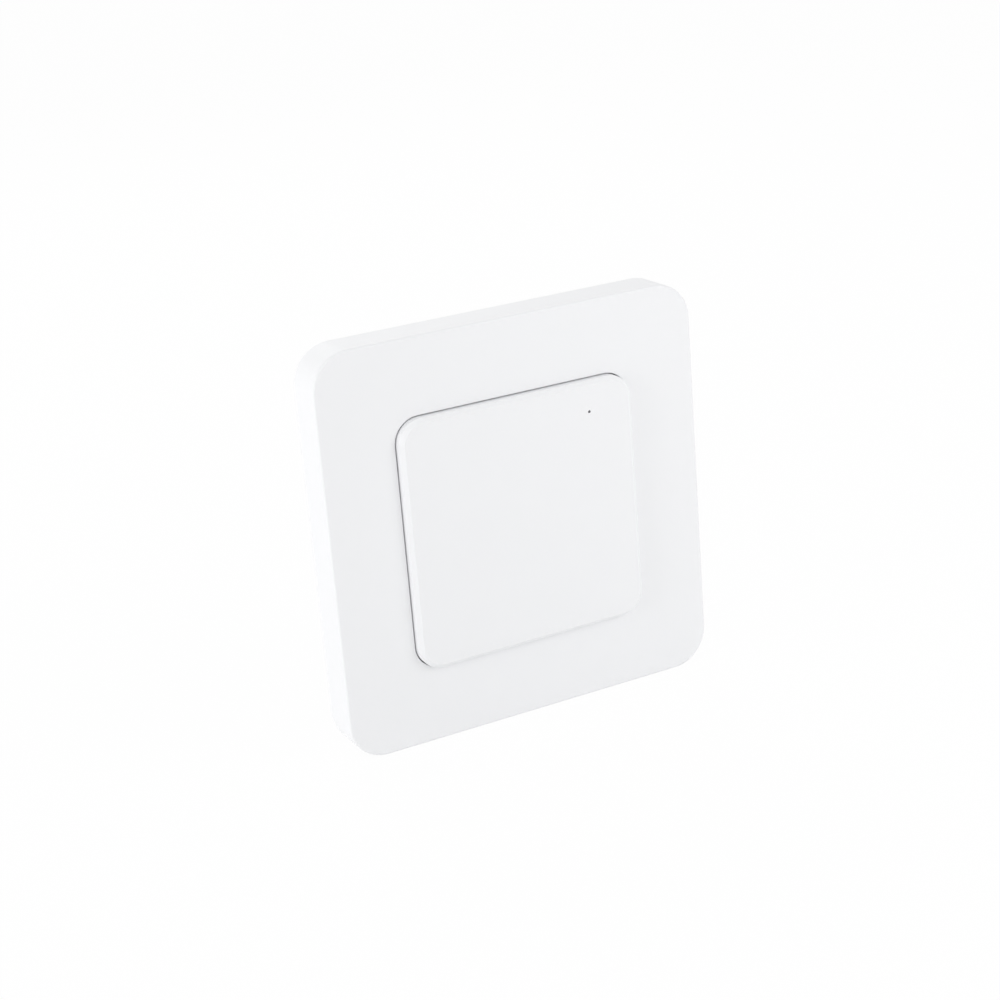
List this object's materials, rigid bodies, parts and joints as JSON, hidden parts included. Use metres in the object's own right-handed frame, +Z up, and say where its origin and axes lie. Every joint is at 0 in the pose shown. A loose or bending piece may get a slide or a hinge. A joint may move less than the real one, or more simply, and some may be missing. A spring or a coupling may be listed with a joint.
{
  "type": "wireless wall switch",
  "caption": "Square radio remote switch for a wall: a round-edged frame round a tilting rocker with a pinhole lamp, over a coin-cell transmitter on a slotted wall plate.",
  "frame": {"origin": "middle of the wall plate's back face, in the plane of the wall", "axes": "+Z up the wall, +Y into the wall, so the rocker faces -Y; +X to the right seen from the room"},
  "size_m": [0.08, 0.011, 0.08],
  "materials": {
    "frame_plastic": "fine satin moulding",
    "rocker_plastic": "fine satin moulding",
    "base_plastic": "plain moulding",
    "cover_plastic": "plain moulding",
    "board_laminate": "solder resist over glass laminate",
    "switch_plastic": "black moulding",
    "sheet_steel": "stamped and plated",
    "cell_steel": "drawn and polished",
    "lamp_resin": "clear red resin",
    "chip_resin": "moulded resin",
    "copper_wire": "bare copper",
    "capacitor_ceramic": "fired ceramic",
    "resistor_ceramic": "glazed ceramic",
    "screw_steel": "zinc plated"
  },
  "bodies": {
    "base": {"cover_frame": "frame_plastic", "wall_plate": "base_plastic", "module_cover": "cover_plastic", "circuit_board": "board_laminate", "upper_switch_base": "switch_plastic", "upper_switch_cover": "sheet_steel", "lower_switch_base": "switch_plastic", "lower_switch_cover": "sheet_steel", "coin_cell": "cell_steel", "positive_contact": "sheet_steel", "negative_contact": "sheet_steel", "indicator_led": "lamp_resin", "encoder_chip": "chip_resin", "resonator": "sheet_steel", "rf_transistor": "chip_resin", "wire_antenna": "copper_wire", "chip_capacitors": "capacitor_ceramic", "chip_resistors": "resistor_ceramic", "cover_screws": "screw_steel"},
    "rocker": {"rocker": "rocker_plastic"},
    "upper_plunger": {"upper_switch_plunger": "switch_plastic"},
    "lower_plunger": {"lower_switch_plunger": "switch_plastic"}
  },
  "joints": [
    {"name": "rocker_tilt", "type": "hinge", "parent": "base", "child": "rocker", "pos_m": [0, -0.0055, 0], "axis": [-1, 0, 0], "range_deg": [-1.8, 1.8], "stiffness_Nm_per_rad": 1},
    {"name": "upper_plunger_press", "type": "slide", "parent": "base", "child": "upper_plunger", "axis": [0, 1, 0], "range_m": [-0.00026, 0.00026]},
    {"name": "lower_plunger_press", "type": "slide", "parent": "base", "child": "lower_plunger", "axis": [0, 1, 0], "range_m": [-0.00026, 0.00026]}
  ],
  "couplings": [
    {"joint": "upper_plunger_press", "follows": "rocker_tilt", "m_per_rad": 0.008},
    {"joint": "lower_plunger_press", "follows": "rocker_tilt", "m_per_rad": -0.008}
  ]
}
